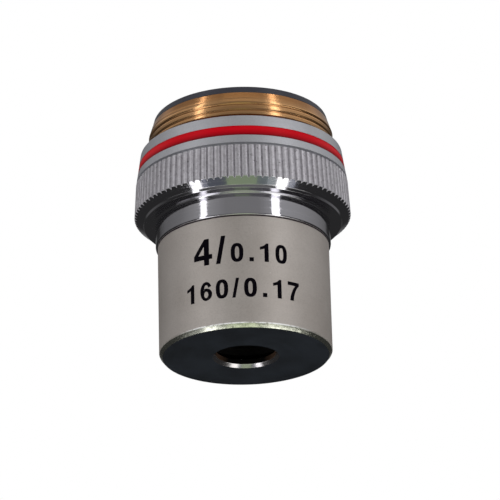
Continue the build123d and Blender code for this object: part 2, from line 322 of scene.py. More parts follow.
def enamel():
    """Red stoving enamel: a full colour under a soft wet gloss, with painted shade darker towards
    its lower edge.
    """
    material, tree, shader = start_material("red_enamel", Specular_IOR_Level=0.06)
    wipe = turning_marks(tree, 0.5, 12.0, 2.0, 0.5)
    place = add(tree, "ShaderNodeTexCoord")["Object"]
    height = add(tree, "ShaderNodeSeparateXYZ", {0: place})[2]
    climb = {"Value": height, "From Min": COLOUR_BOTTOM * MM, "From Max": COLOUR_TOP * MM}
    rise = add(tree, "ShaderNodeMapRange", climb)["Result"]
    tone = laid_over(tree, "#d80019", "#bc0012", wipe)
    # Painted shade: the enamel darkens towards its lower edge
    tone = laid_over(tree, "#7c000e", tone, rise, ((0.05, 0.0), (0.30, 0.55), (0.60, 1.0)))
    dress(tree, shader, tone, wipe, (0.30, 0.45), (wipe, 0.012, 0.5))
    return material


def black_lacquer():
    """Matt black lacquer over turned metal: blue black, with a little of the turning showing."""
    material, tree, shader = start_material("matt_black_lacquer", Specular_IOR_Level=0.35)
    turning = turning_marks(tree, 0.25, 5.0)
    tone = laid_over(tree, "#1f252e", "#2e353f", turning)
    shade = cloud(tree, 5.0, 2.0, 0.5)
    tone = laid_over(tree, tone, "#161b22", shade, ((0.35, 0.6), (0.60, 0.0)))
    dust = cloud(tree, 0.25, 2.0, 0.7)
    tone = laid_over(tree, tone, "#5a5c5a", dust, ((0.70, 0.0), (0.78, 1.0)))
    dress(tree, shader, tone, turning, (0.42, 0.60), (turning, 0.006, 0.6))
    return material


def turned_brass():
    """Bare turned brass, as on a shim: dull, brownish yellow."""
    material, tree, shader = start_material("turned_brass", Metallic=1.0)
    turning = turning_marks(tree, 0.12, 4.0)
    tone = laid_over(tree, "#b98a58", "#8f6240", cloud(tree, 1.2))
    dress(tree, shader, tone, turning, (0.28, 0.42), (turning, 0.005, 0.6))
    return material


def corner_with_painted_highlight():
    """The corner above the front edge, with a painted highlight: white and bright over the front
    quarter, broken up by nicks.
    """
    material, tree, shader = start_material("nickel_corner_painted_highlight", Metallic=0.2)
    place = add(tree, "ShaderNodeTexCoord")["Object"]
    forward = add(tree, "ShaderNodeSeparateXYZ", {0: place})[1]
    # Painted highlight: the white shows over the front quarter and fades out towards the sides
    fade = {"Value": forward, "From Min": -8.0 * MM, "From Max": -6.0 * MM}
    fade.update({"To Min": 1.0, "To Max": 0.0})
    rubbed = add(tree, "ShaderNodeMapRange", fade)["Result"]
    nicks = cloud(tree, 0.6, 3.0, 0.7)
    breaks = add(tree, "ShaderNodeValToRGB", {0: nicks}, ((0.50, 0.0), (0.64, 1.0)))[0]
    bright = laid_over(tree, "#ffffff", "#b9b8ae", breaks)
    tone = laid_over(tree, "#a09b95", bright, rubbed)
    dress(tree, shader, tone, breaks, (0.35, 0.50))
    return material


def window_wall():
    """Blackened wall of the window, with a painted reflection: near black, and patchy brown painted
    in towards its left and right sides.
    """
    material, tree, shader = start_material("blackened_brass_painted_reflection", Metallic=0.6)
    place = add(tree, "ShaderNodeTexCoord")["Object"]
    across = add(tree, "ShaderNodeSeparateXYZ", {0: place})[0]
    across = add(tree, "ShaderNodeMath", {0: across}, operation="ABSOLUTE")[0]
    # Painted reflection: brown towards the left and right sides of the wall, black between them
    climb = {"Value": across, "From Min": 1.9 * MM, "From Max": 3.1 * MM}
    rubbed = add(tree, "ShaderNodeMapRange", climb)["Result"]
    patches = cloud(tree, 0.6, 2.0)
    brown_reflection = laid_over(tree, "#8a6a58", "#65503f", patches)
    dress(tree, shader, laid_over(tree, "#0b0908", brown_reflection, rubbed), patches, (0.35, 0.55))
    return material


def clouded(name, colours, cell, rough, relief=None, pitch=None, **constants):
    """A finish of two colours in clouds, which also set its roughness.

    The relief, a depth in millimetres and a strength, follows the clouds, or turning marks
    of a pitch."""
    material, tree, shader = start_material(name, **constants)
    patches = cloud(tree, cell)
    if relief:
        relief = (turning_marks(tree, pitch, 4.0) if pitch else patches, *relief)
    dress(tree, shader, laid_over(tree, *colours, patches), patches, rough, relief)
    return material


def optical_glass(name, ior, coating):
    """Polished optical glass with its thin coating: clear, with a faint coloured reflection."""
    material, tree, shader = start_material(
        name, Transmission_Weight=1.0, IOR=ior, Coat_Weight=0.4, Coat_Roughness=0.02
    )
    film = cloud(tree, 5.0, 1.0, 0.5)
    tone = laid_over(tree, "#ffffff", coating, film, ((0.0, 0.1), (1.0, 0.3)))
    dress(tree, shader, tone, film, (0.0, 0.02))
    return material


MATERIALS = {
    "barrel": satin_nickel("satin_nickel_barrel", "#cfc8c3", "#c1b9b3", 0.22, 0.58),
    "band": satin_nickel("satin_nickel_band", "#c6c7cd", "#b6b7be", 0.16, 0.55),
    "knurl": knurled_nickel(),
    "polish": polished_nickel(),
    "scuffed": scuffed_nickel(),
    "brass": cut_brass(),
    "enamel": enamel(),
    "lacquer": black_lacquer(),
    "shim": turned_brass(),
    # Nickel with a painted highlight, for the corner above the front edge
    "painted_edge_highlight": corner_with_painted_highlight(),
    # Blackened brass with a painted reflection, for the window's wall
    "window": window_wall(),
    "crown": optical_glass("crown_glass", 1.52, "#f4e6ff"),
    "flint": optical_glass("flint_glass", 1.62, "#e6ffee"),
    # Black anodised aluminium: dark grey violet and satin
    "anodised": clouded(
        "black_anodised_aluminium", ("#303038", "#3e3e48"), 2.0, (0.32, 0.46), (0.004, 0.6),
        0.12, Specular_IOR_Level=0.25,
    ),
    # Chemically blackened brass: a flat brown black that stops stray light inside
    "blackened": clouded(
        "blackened_brass", ("#141211", "#262220"), 1.5, (0.45, 0.65), (0.005, 0.6),
        0.15, Metallic=0.3,
    ),
    # A freshly cut nickel edge: nearly a mirror, so it is bright only where a lamp shows
    "cut": clouded(
        "cut_nickel_edge", ("#d0cdcf", "#bdb9bb"), 0.8, (0.12, 0.26), (0.006, 0.5),
        Metallic=1.0,
    ),
    # Black wax paint in the cut figures: flat black, a little broken up inside
    "fill": clouded(
        "black_engraving_fill", ("#050308", "#0d0a12"), 0.3, (0.60, 0.80), (0.01, 0.5),
        Specular_IOR_Level=0.02,
    ),
    # Old oil and dust packed in a seam, with painted shade: near black, greasy and uneven along its
    # length
    "seam": clouded(
        "seam_grime_painted_shade", ("#332a30", "#564a51"), 0.7, (0.35, 0.65), Specular_IOR_Level=0.25,
    ),
}


# Turned forms


def rounded(corners):
    """A turned profile with its corners rounded.

    Each corner is radius, height, rounding and the material of the side that starts there.
    Gives the points round the closed profile, each with the material of what follows it.
    An arc takes no more than a share of the sides it joins, and has a point just outside
    each end, so that the flat beside it stays flat to the eye."""
    arc_steps = 3
    guard = 0.35
    longest = 0.45
    least = 0.004
    points = []
    count = len(corners)
    for place, (radius, height, rounding, side) in enumerate(corners):
        here = Vector((radius, height))
        before = Vector(corners[place - 1][:2]) - here
        after = Vector(corners[(place + 1) % count][:2]) - here
        reach = min(rounding, longest * before.length, longest * after.length)
        if reach < least:
            points.append((here, side))
            continue
        back = before.normalized() * reach
        forth = after.normalized() * reach
        start, end = here + back, here + forth
        former = corners[place - 1][3]
        points.append((start + back * guard, former))
        for step in range(arc_steps + 1):
            share = step / arc_steps
            bend = (1 - share) ** 2 * start + 2 * share * (1 - share) * here + share**2 * end
            points.append((bend, side if 2 * step > arc_steps else former))
        points.append((end + forth * guard, side))
    return points


def revolve(mesh, points, angles, keys, closed=True):
    """Adds a turned surface to a bmesh; a point on the axis becomes a pole."""
    rows = []
    for point, _ in points:
        if point.x < 1e-6:
            rows.append([mesh.verts.new((0, 0, point.y * MM))] * len(angles))
        else:
            rows.append([mesh.verts.new(on_axis(point.x, angle, point.y)) for angle in angles])
    for row in range(len(rows) if closed else len(rows) - 1):
        low, high = rows[row], rows[(row + 1) % len(rows)]
        for column in range(len(angles)):
            following = (column + 1) % len(angles)
            ring = (low[column], low[following], high[following], high[column])
            if len(set(ring)) > 2:
                face = mesh.faces.new(dict.fromkeys(ring))
                face.material_index = keys.index(points[row][1])
                face.smooth = True


def even_angles(count):
    """Angles round a turn, from the side away from the camera."""
    return [pi / 2 + 2 * pi * step / count for step in range(count)]


def mesh_data(name, mesh):
    """A mesh from a bmesh, which is freed."""
    data = bpy.data.meshes.new(name)
    mesh.to_mesh(data)
    mesh.free()
    return data


def new_object(name, data):
    """An object in the scene."""
    item = bpy.data.objects.new(name, data)
    bpy.context.scene.collection.objects.link(item)
    return item


def finish_piece(name, mesh, keys, slot, *nodes):
    """Closes a bmesh into an object that rides on the body and stands for its CAD nodes."""
    bmesh.ops.remove_doubles(mesh, verts=mesh.verts, dist=WELD)
    bmesh.ops.dissolve_degenerate(mesh, edges=mesh.edges, dist=WELD / 10)
    bmesh.ops.recalc_face_normals(mesh, faces=mesh.faces)
    data = mesh_data(name, mesh)
    for key in keys:
        data.materials.append(MATERIALS[key])
    piece = new_object(name, data)
    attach(piece, "root")
    if nodes:
        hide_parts(*nodes)


def turned_piece(name, corners, slot, node, segments):
    """A closed turned piece from its rounded profile, in place of a CAD node."""
    keys = list(dict.fromkeys(corner[3] for corner in corners))
    mesh = bmesh.new()
    revolve(mesh, rounded(corners), even_angles(segments), keys)
    finish_piece(name, mesh, keys, slot, node)


# Geometry Nodes for the knurl and the thread


def node_group(name, sizes):
    """An empty geometry tree with named number inputs and a material input."""
    group = bpy.data.node_groups.new(name, "GeometryNodeTree")
    face = group.interface
    face.new_socket("Geometry", in_out="INPUT", socket_type="NodeSocketGeometry")
    for label, kind in sizes.items():
        face.new_socket(label, in_out="INPUT", socket_type=kind)
    face.new_socket("Material", in_out="INPUT", socket_type="NodeSocketMaterial")
    face.new_socket("Geometry", in_out="OUTPUT", socket_type="NodeSocketGeometry")
    return group, add(group, "NodeGroupInput")


def close_group(group, geometry, material):
    """Ends a tree, with the geometry in its material."""
    settings = {"Geometry": geometry, "Material": material}
    painted = add(group, "GeometryNodeSetMaterial", settings)[0]
    add(group, "NodeGroupOutput", {0: painted})


def run_group(name, mesh, group, values):
    """Runs a tree on a mesh with the given inputs, and gives the result as a bmesh."""
    carrier = new_object(name, mesh_data(name, mesh))
    modifier = carrier.modifiers.new(name, "NODES")
    modifier.node_group = group
    for item in group.interface.items_tree:
        if item.in_out == "INPUT" and item.name in values:
            modifier[item.identifier] = values[item.name]
    evaluated = carrier.evaluated_get(bpy.context.evaluated_depsgraph_get())
    result = bpy.data.meshes.new_from_object(evaluated)
    made = bmesh.new()
    made.from_mesh(result)
    bpy.data.objects.remove(carrier)
    bpy.data.meshes.remove(result)
    return made


def knurl_tree():
    """Sets one tooth round the axis as many times as there are teeth."""
    sizes = {"Teeth": "NodeSocketInt", "Weld": "NodeSocketFloat"}
    group, given = node_group("knurl", sizes)
    turn = add(group, "ShaderNodeMath", {0: 2 * pi, 1: given["Teeth"]}, operation="DIVIDE")[0]
    index = add(group, "GeometryNodeInputIndex")[0]
    angle = add(group, "ShaderNodeMath", {0: index, 1: turn}, operation="MULTIPLY")[0]
    spin = add(group, "ShaderNodeCombineXYZ", {2: angle})[0]
    points = add(group, "GeometryNodePoints", {"Count": given["Teeth"]})[0]
    settings = {"Points": points, "Instance": given["Geometry"], "Rotation": spin}
    teeth = add(group, "GeometryNodeInstanceOnPoints", settings)[0]
    real = add(group, "GeometryNodeRealizeInstances", {0: teeth})[0]
    settings = {"Geometry": real, "Distance": given["Weld"]}
    welded = add(group, "GeometryNodeMergeByDistance", settings)[0]
    close_group(group, welded, given["Material"])
    return group


def thread_tree():
    """Presses a screw thread into a sleeve.

    The depth follows the place across one pitch, counted along the helix, and the sleeve's
    own radius, which is the crest and the tapered lead, stays where the groove is shallower."""
    labels = ("Pitch", "Depth", "Crest", "Crest share", "Root share", "Start")
    group, given = node_group("screw_thread", dict.fromkeys(labels, "NodeSocketFloat"))
    pitch, depth, crest, crest_share, root_share, start = (given[label] for label in labels)
    position = add(group, "GeometryNodeInputPosition")[0]
    parts = add(group, "ShaderNodeSeparateXYZ", {0: position})
    angle = add(group, "ShaderNodeMath", {0: parts[1], 1: parts[0]}, operation="ARCTAN2")[0]
    turn = add(group, "ShaderNodeMath", {0: angle, 1: 2 * pi}, operation="DIVIDE")[0]
    rise = add(group, "ShaderNodeMath", {0: parts[2], 1: pitch}, operation="DIVIDE")[0]
    along = add(group, "ShaderNodeMath", {0: rise, 1: turn}, operation="SUBTRACT")[0]
    along = add(group, "ShaderNodeMath", {0: along, 1: start}, operation="SUBTRACT")[0]
    # The phase is 0.5 on the crest's middle and 0 in the root's middle
    cycle = add(group, "ShaderNodeMath", {0: along}, operation="FRACT")[0]
    cycle = add(group, "ShaderNodeMath", {0: cycle, 1: 0.5}, operation="SUBTRACT")[0]
    phase = add(group, "ShaderNodeMath", {0: cycle}, operation="ABSOLUTE")[0]
    low = add(group, "ShaderNodeMath", {0: root_share, 1: 0.5}, operation="MULTIPLY")[0]
    flat_half = add(group, "ShaderNodeMath", {0: crest_share, 1: 0.5}, operation="MULTIPLY")[0]
    high = add(group, "ShaderNodeMath", {0: 0.5, 1: flat_half}, operation="SUBTRACT")[0]
    flank = {"Value": phase, "From Min": low, "From Max": high}
    climb = add(group, "ShaderNodeMapRange", flank)["Result"]
    fall = add(group, "ShaderNodeMath", {0: 1.0, 1: climb}, operation="SUBTRACT")[0]
    sunk = add(group, "ShaderNodeMath", {0: fall, 1: depth}, operation="MULTIPLY")[0]
    radius = add(group, "ShaderNodeMath", {0: crest, 1: sunk}, operation="SUBTRACT")[0]
    flat = add(group, "ShaderNodeCombineXYZ", {0: parts[0], 1: parts[1]})[0]
    present = add(group, "ShaderNodeVectorMath", {0: flat}, operation="LENGTH")["Value"]
    least = add(group, "ShaderNodeMath", {0: radius, 1: present}, operation="MINIMUM")[0]
    scale = add(group, "ShaderNodeMath", {0: least, 1: present}, operation="DIVIDE")[0]
    shrink = {0: flat, "Scale": scale}
    shrunk = add(group, "ShaderNodeVectorMath", shrink, operation="SCALE")[0]
    lift = add(group, "ShaderNodeCombineXYZ", {2: parts[2]})[0]
    target = add(group, "ShaderNodeVectorMath", {0: shrunk, 1: lift}, operation="ADD")[0]
    settings = {"Geometry": given["Geometry"], "Position": target}
    cut = add(group, "GeometryNodeSetPosition", settings)[0]
    close_group(group, cut, given["Material"])
    return group


def tooth_angles():
    """The angles of one tooth's columns, from its groove to the next groove's near side."""
    half = pi / TEETH
    return [share * half for share, _ in TOOTH_SECTION]


def ring_angles():
    """The columns of every tooth in turn, so that the turned parts meet the knurl."""
    return [2 * pi * tooth / TEETH + angle for tooth in range(TEETH) for angle in tooth_angles()]


def knurl_crest(height):
    """Radius of the knurl's crests at a height."""
    return KNURL_RADIUS - (height - KNURL_BOTTOM) * KNURL_TAPER


def knurled_zone():
    """The chamfer below the grip, the knurl, and the wall of the groove above it."""
    # How far a tooth's end is broken, and a further point that keeps the flat beside it flat
    tip = 0.02
    guard = 0.02
    mesh = bmesh.new()
    columns = []
    angles = [*tooth_angles(), pi / TEETH]
    depths = [*(depth for _, depth in TOOTH_SECTION), TOOTH_SECTION[0][1]]
    for angle, depth in zip(angles, depths):
        sunk = depth * KNURL_DEPTH
        meet = (KNURL_RADIUS - sunk - EDGE_RADIUS) * CHAMFER_SLOPE + EDGE_TOP
        chamfer = (EDGE_TOP, EDGE_TOP + guard, meet - tip - guard, meet - tip)
        section = [(EDGE_RADIUS + (z - EDGE_TOP) / CHAMFER_SLOPE, z) for z in chamfer]
        top = KNURL_TOP - tip
        flank = (meet + tip, meet + tip + guard, KNURL_MIDDLE, top - guard, top)
        section += [(knurl_crest(z) - sunk, z) for z in flank]
        end = knurl_crest(KNURL_TOP) - sunk - tip
        section += [(radius, KNURL_TOP) for radius in (end, end - guard, PARTING_RADIUS)]
        columns.append([mesh.verts.new(on_axis(radius, angle, z)) for radius, z in section])
    for left, right in zip(columns, columns[1:]):
        for row in range(len(left) - 1):
            corners = (left[row], right[row], right[row + 1], left[row + 1])
            mesh.faces.new(corners).smooth = True
    sizes = {"Teeth": TEETH, "Weld": 0.002 * MM, "Material": MATERIALS["knurl"]}
    return run_group("knurl", mesh, knurl_tree(), sizes)


def sleeve_radius(height):
    """Radius of the thread's crest and of its tapered lead at a height."""
    share = max(0.0, (height - LEAD_START) / (THREAD_TOP - LEAD_START))
    return THREAD_RADIUS - share * (THREAD_RADIUS - LEAD_END_RADIUS)


def threaded_zone():
    """The screw thread, from the relief up to the end face."""
    angles = ring_angles()
    angles.append(angles[0] + 2 * pi)
    turns = (THREAD_TOP - RELIEF_TOP) / THREAD_PITCH
    base = floor(RELIEF_TOP / THREAD_PITCH) * THREAD_PITCH
    mesh = bmesh.new()
    grid = []
    for row in range(int((turns + 1) * THREAD_ROWS) + 2):
        line = []
        for angle in angles:
            rise = base + THREAD_PITCH * (row / THREAD_ROWS - 1 + angle / (2 * pi))
            height = min(max(rise, RELIEF_TOP), THREAD_TOP)
            line.append(mesh.verts.new(on_axis(sleeve_radius(height), angle, height)))
        grid.append(line)
    for low, high in zip(grid, grid[1:]):
        for column in range(len(angles) - 1):
            corners = (low[column], low[column + 1], high[column + 1], high[column])
            mesh.faces.new(corners).smooth = True
    sizes = {
        "Pitch": THREAD_PITCH * MM,
        "Depth": THREAD_DEPTH * MM,
        "Crest": THREAD_RADIUS * MM,
        "Crest share": CREST_SHARE,
        "Root share": ROOT_SHARE,
        "Start": THREAD_START,
        "Material": MATERIALS["brass"],
    }
    return run_group("thread", mesh, thread_tree(), sizes)


def join(target, source, key, keys):
    """Moves a bmesh's faces into another, with one material."""
    data = mesh_data("joined", source)
    known = len(target.faces)
    target.from_mesh(data)
    target.faces.ensure_lookup_table()
    for face in target.faces[known:]:
        face.material_index = keys.index(key)
        face.smooth = True
    bpy.data.meshes.remove(data)


def grip_and_thread():
    """Mount body: spigot, neck, underside, knurl, band, shoulder, thread and bore, in one piece."""
    keys = ["polish", "band", "knurl", "brass", "blackened"]
    mesh = bmesh.new()
    # The point just under the edge keeps the bevel below it flat
    lower = [
        (TUBE_BORE_RADIUS, REAR_BORE_FLOOR, 0.0, "blackened"),
        (TUBE_BORE_RADIUS, SPIGOT_BOTTOM, 0.1, "brass"),
        (SPIGOT_RADIUS, SPIGOT_BOTTOM, 0.3, "brass"),
        (SPIGOT_RADIUS, NECK_BOTTOM, 0.0, "polish"),
        (NECK_RADIUS, NECK_BOTTOM, 0.17, "polish"),
        (NECK_RADIUS, NECK_TOP, NECK_FILLET, "polish"),
        (EDGE_RADIUS - EDGE_BEVEL, NECK_TOP, 0.03, "polish"),
        (EDGE_RADIUS - 0.006, EDGE_TOP - 0.02, 0.0, "polish"),
        (EDGE_RADIUS, EDGE_TOP, 0.0, "polish"),
    ]
    upper = [
        (PARTING_RADIUS, KNURL_TOP, 0.0, "band"),
        (PARTING_RADIUS, BAND_BOTTOM, 0.0, "band"),
        (BAND_RADIUS, BAND_BOTTOM, 0.05, "band"),
        (band_radius(COLOUR_BOTTOM), COLOUR_BOTTOM, 0.03, "band"),
        (band_radius(COLOUR_BOTTOM) - COLOUR_DEPTH, COLOUR_BOTTOM, 0.0, "band"),
        (band_radius(COLOUR_TOP) - COLOUR_DEPTH, COLOUR_TOP, 0.0, "band"),
        (band_radius(COLOUR_TOP), COLOUR_TOP, 0.03, "band"),
        (band_radius(SHOULDER), SHOULDER, 0.12, "band"),
        (SEAT_RADIUS, SHOULDER, 0.0, "brass"),
        (SEAT_RADIUS, SEAT_FLOOR, 0.0, "brass"),
        (RELIEF_RADIUS, SEAT_FLOOR, 0.0, "brass"),
        (RELIEF_RADIUS, RELIEF_TOP, 0.0, "brass"),
    ]
    angles = ring_angles()
    for corners in (lower, upper):
        revolve(mesh, rounded(corners), angles, keys, closed=False)
    join(mesh, knurled_zone(), "knurl", keys)
    join(mesh, threaded_zone(), "brass", keys)
    bmesh.ops.remove_doubles(mesh, verts=mesh.verts, dist=WELD)
    bridge(mesh, angles, keys)
    # The chamfer under the teeth came with the knurl, and is polished
    tolerance = 0.004
    for face in mesh.faces:
        if face.material_index == keys.index("knurl"):
            middle = face.calc_center_median() / MM
            chamfer = EDGE_TOP + (middle.xy.length - EDGE_RADIUS) * CHAMFER_SLOPE
            if middle.z < chamfer + tolerance:
                face.material_index = keys.index("polish")
    finish_piece("mount_body_turned", mesh, keys, "plated_brass", "mount_body")


def bridge(mesh, angles, keys):
    """Closes the end face round the bore, and the step from the relief to the first thread."""
    bore = [
        (REAR_BORE_RADIUS, THREAD_TOP, 0.0, "blackened"),
        (REAR_BORE_RADIUS, REAR_BORE_FLOOR, 0.0, "blackened"),
        (TUBE_BORE_RADIUS, REAR_BORE_FLOOR, 0.0, "blackened"),
    ]
    revolve(mesh, rounded(bore), angles, keys, closed=False)
    bmesh.ops.remove_doubles(mesh, verts=mesh.verts, dist=WELD)
    for height in (RELIEF_TOP * MM, THREAD_TOP * MM):
        loops = [
            edge for edge in mesh.edges
            if edge.is_boundary and all(abs(v.co.z - height) < WELD for v in edge.verts)
        ]
        for face in bmesh.ops.bridge_loops(mesh, edges=loops)["faces"]:
            face.material_index = keys.index("brass")


def barrel():
    """Barrel sleeve: satin outside, scuffed front edge, black lacquered face, small window."""
    corners = [
        (WINDOW_RADIUS + WINDOW_CHAMFER, 0.0, 0.015, "lacquer"),
        (BARREL_RADIUS - EDGE_WIDTH, 0.0, 0.06, "scuffed"),
        # Painted highlight on the corner above the front edge
        (BARREL_RADIUS - WORN_WIDTH, EDGE_HEIGHT - WORN_BELOW, 0.0, "painted_edge_highlight"),
        (BARREL_RADIUS, EDGE_HEIGHT + WORN_ABOVE, 0.02, "barrel"),
        # Grime and painted shade: the dark seam at the top of the barrel, under the neck
        (BARREL_RADIUS, NECK_BOTTOM - SEAM_HEIGHT, 0.02, "seam"),
        (BARREL_RADIUS - SEAM_WIDTH, NECK_BOTTOM, 0.0, "blackened"),
        (BARREL_BORE, NECK_BOTTOM, 0.05, "blackened"),
        (BARREL_BORE, FRONT_WALL, 0.05, "blackened"),
        (WINDOW_RADIUS, FRONT_WALL, 0.05, "window"),
        (WINDOW_RADIUS, WINDOW_CHAMFER, 0.04, "cut"),
    ]
    turned_piece("barrel_sleeve_turned", corners, "barrel_plating", "barrel_sleeve", 288)


def colour_ring():
    """Enamel in its groove, crowned between the groove's edges."""
    low, high = COLOUR_BOTTOM, COLOUR_TOP
    # Each height, and the share of the crown that the enamel reaches there
    section = (
        (low, 0.4), (low + 0.12, 0.4), (low + 0.3, 0.85), ((low + high) / 2, 1.0),
        (high - 0.3, 0.85), (high - 0.12, 0.4), (high, 0.4),
    )
    corners = [
        (band_radius(height) - ENAMEL_SINK + share * ENAMEL_CROWN, height, 0.0, "enamel")
        for height, share in section
    ]
    corners.insert(0, (band_radius(low) - COLOUR_DEPTH, low, 0.0, "enamel"))
    corners.append((band_radius(high) - COLOUR_DEPTH, high, 0.0, "enamel"))
    turned_piece("enamel_ring", corners, "red_enamel", "colour_band", 288)


# Figures on the barrel

ARC_STEPS = 14


def arc(x, y, across, up, start, end):
    """Points along an ellipse between two angles in degrees."""
    angles = [radians(start + (end - start) * step / ARC_STEPS) for step in range(ARC_STEPS + 1)]
    return [(x + across * cos(a), y + up * sin(a)) for a in angles]


def bow(start, pull, end):
    """Points along a curve between two ends, drawn towards a third point."""
    points = []
    for step in range(ARC_STEPS + 1):
        share = step / ARC_STEPS
        weights = ((1 - share) ** 2, 2 * share * (1 - share), share**2)
        points.append(tuple(
            sum(weight * point[axis] for weight, point in zip(weights, (start, pull, end)))
            for axis in (0, 1)
        ))
    return points


def loop(x, y, across, up):
    """A rounded oval, a little squarer than an ellipse."""
    points = []
    for step in range(4 * ARC_STEPS):
        a = 2 * pi * step / (4 * ARC_STEPS)
        swell = (abs(cos(a)) ** 2.5 + abs(sin(a)) ** 2.5) ** (-1 / 2.5)
        points.append((x + across * swell * cos(a), y + up * swell * sin(a)))
    return points


# Bold plain figures one unit high: width, space kept at either side, and outlines
FIGURES = {
    "0": (0.64, 0.0, 0.0, [loop(0.32, 0.50, 0.32, 0.51), loop(0.32, 0.50, 0.11, 0.335)]),
    "1": (0.45, 0.03, 0.16, [
        [(0.23, 0.0), (0.45, 0.0), (0.45, 1.0), (0.32, 1.0)]
        + bow((0.32, 1.0), (0.25, 0.86), (0.0, 0.80)) + [(0.0, 0.64), (0.23, 0.71)],
    ]),
    "4": (0.73, 0.0, 0.0, [
        [(0.41, 0.0), (0.61, 0.0), (0.61, 0.22), (0.73, 0.22), (0.73, 0.40), (0.61, 0.40)]
        + [(0.61, 1.0), (0.43, 1.0), (0.0, 0.41), (0.0, 0.22), (0.41, 0.22)],
        [(0.41, 0.40), (0.41, 0.73), (0.18, 0.40)],
    ]),
    "6": (0.66, 0.0, 0.0, [
        arc(0.33, 0.50, 0.33, 0.51, 30, 270)[:-1]
        + arc(0.33, 0.32, 0.33, 0.33, 270, 475)
        + arc(0.34, 0.59, 0.12, 0.245, 195, 20),
        arc(0.335, 0.315, 0.115, 0.175, 0, 360)[:-1],
    ]),
    "7": (0.67, 0.0, 0.0, [
        [(0.0, 1.0), (0.67, 1.0)]
        + bow((0.67, 0.84), (0.38, 0.55), (0.33, 0.0))
        + bow((0.12, 0.0), (0.17, 0.48), (0.44, 0.81)) + [(0.0, 0.81)],
    ]),
    "/": (0.36, 0.0, 0.04, [[(0.0, -0.02), (0.16, -0.02), (0.36, 1.03), (0.20, 1.03)]]),
    ".": (0.22, 0.10, 0.09, [[(0.0, 0.0), (0.22, 0.0), (0.22, 0.22), (0.0, 0.22)]]),
}
FIGURE_GAP = 0.42
# Each line of figures: where it starts round the barrel, and its runs with foot and height
FIGURE_LINES = (
    (-5.56, ((7.29, 2.98, "4/"), (7.30, 2.09, "0.10"))),
    (-6.62, ((3.31, 2.10, "160/0.17"),)),
)
FILL_PROUD = 0.008
FILL_DEPTH = 0.02
# The flat figures are cut into strips this wide, and this far to both sides, to bend them
BEND_STEP = 0.15
BEND_REACH = 7.5


def figure_loops():
    """The outlines of all the figures, laid out flat: along the arc, and up."""
    loops = []
    for left, runs in FIGURE_LINES:
        for foot, height, figures in runs:
            for figure in figures:
                width, before, after, outlines = FIGURES[figure]
                left += before * height
                for outline in outlines:
                    loops.append([(left + x * height, foot + y * height) for x, y in outline])
                left += (width + after) * height + FIGURE_GAP
    return loops


def engraved_figures():
    """Plain optical figures filled with black, bent onto the barrel."""
    flat = bpy.data.curves.new("figures", "CURVE")
    flat.dimensions = "2D"
    flat.fill_mode = "BOTH"
    for outline in figure_loops():
        spline = flat.splines.new("POLY")
        spline.points.add(len(outline) - 1)
        for point, (x, y) in zip(spline.points, outline):
            point.co = (x, y, 0.0, 1.0)
        spline.use_cyclic_u = True
    carrier = new_object("figures", flat)
    graph = bpy.context.evaluated_depsgraph_get()
    data = bpy.data.meshes.new_from_object(carrier.evaluated_get(graph))
    bpy.data.objects.remove(carrier)
    mesh = bmesh.new()
    mesh.from_mesh(data)
    bpy.data.meshes.remove(data)
    bmesh.ops.remove_doubles(mesh, verts=mesh.verts, dist=1e-5)
    for cut in range(int(2 * BEND_REACH / BEND_STEP)):
        everything = mesh.verts[:] + mesh.edges[:] + mesh.faces[:]
        place = (-BEND_REACH + cut * BEND_STEP, 0, 0)
        bmesh.ops.bisect_plane(mesh, geom=everything, plane_co=place, plane_no=(1, 0, 0))
    raised = bmesh.ops.extrude_face_region(mesh, geom=mesh.faces[:])["geom"]
    tops = {vert for vert in raised if isinstance(vert, bmesh.types.BMVert)}
    for vert in mesh.verts:
        radius = BARREL_RADIUS + (FILL_PROUD if vert in tops else -FILL_DEPTH)
        angle = vert.co.x / BARREL_RADIUS
        vert.co = (radius * sin(angle) * MM, -radius * cos(angle) * MM, vert.co.y * MM)
    finish_piece("engraved_figures", mesh, ["fill"], "barrel_plating")


def end_ring():
    """Black ring that closes the thread end."""
    low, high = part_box("rear_ring")
    bottom, top = low.z / MM, high.z / MM
    section = (
        (RING_BORE, bottom, 0.1),
        (RING_SPIGOT, bottom, 0.1),
        (RING_SPIGOT, THREAD_TOP, 0.0),
        (LEAD_END_RADIUS, THREAD_TOP, 0.08),
        (LEAD_END_RADIUS - RING_DRAFT, top, 0.14),
        (RING_MOUTH, top, 0.05),
        (RING_BORE, top - RING_MOUTH_CHAMFER, 0.05),
    )
    corners = [(*corner, "anodised") for corner in section]
    turned_piece("rear_ring_turned", corners, "black_anodised", "rear_ring", 256)


grip_and_thread()
barrel()
colour_ring()
end_ring()
engraved_figures()


# Finishes of the inner pieces, which stay as the CAD made them

INNER_FINISHES = {
    "anodised": ("lock_ring", "front_spacer_tube", "rear_spacer_tube"),
    "blackened": (
        "lens_tube", "front_cell", "rear_cell", "front_retaining_ring", "rear_retaining_ring",
        "stack_ring", "aperture_stop",
    ),
    "shim": ("parfocal_shim_1", "parfocal_shim_2"),
    "flint": ("front_flint_lens", "rear_flint_lens"),
    "crown": ("front_crown_lens", "rear_crown_lens"),
}
for finish, node_names in INNER_FINISHES.items():
    for node_name in node_names:
        node_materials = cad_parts[node_name].data.materials
        node_materials.clear()
        node_materials.append(MATERIALS[finish])


# Studio, in metres

FLOOR_HEIGHT = -0.30
FLOOR_REACH = 3.0
# Radius and height of the tent's foot, wall and roof
TENT_OUTLINE = ((0.0, -0.27), (0.8, -0.27), (0.8, 1.2), (0.3, 1.4))
# The cards lie this high, just above the tent's foot, and a little higher where they overlap
CARD_HEIGHT = -0.26
# Strength of the tent's glow; the tables below are shares of a plain white glow
TENT_STRENGTH = 3.0
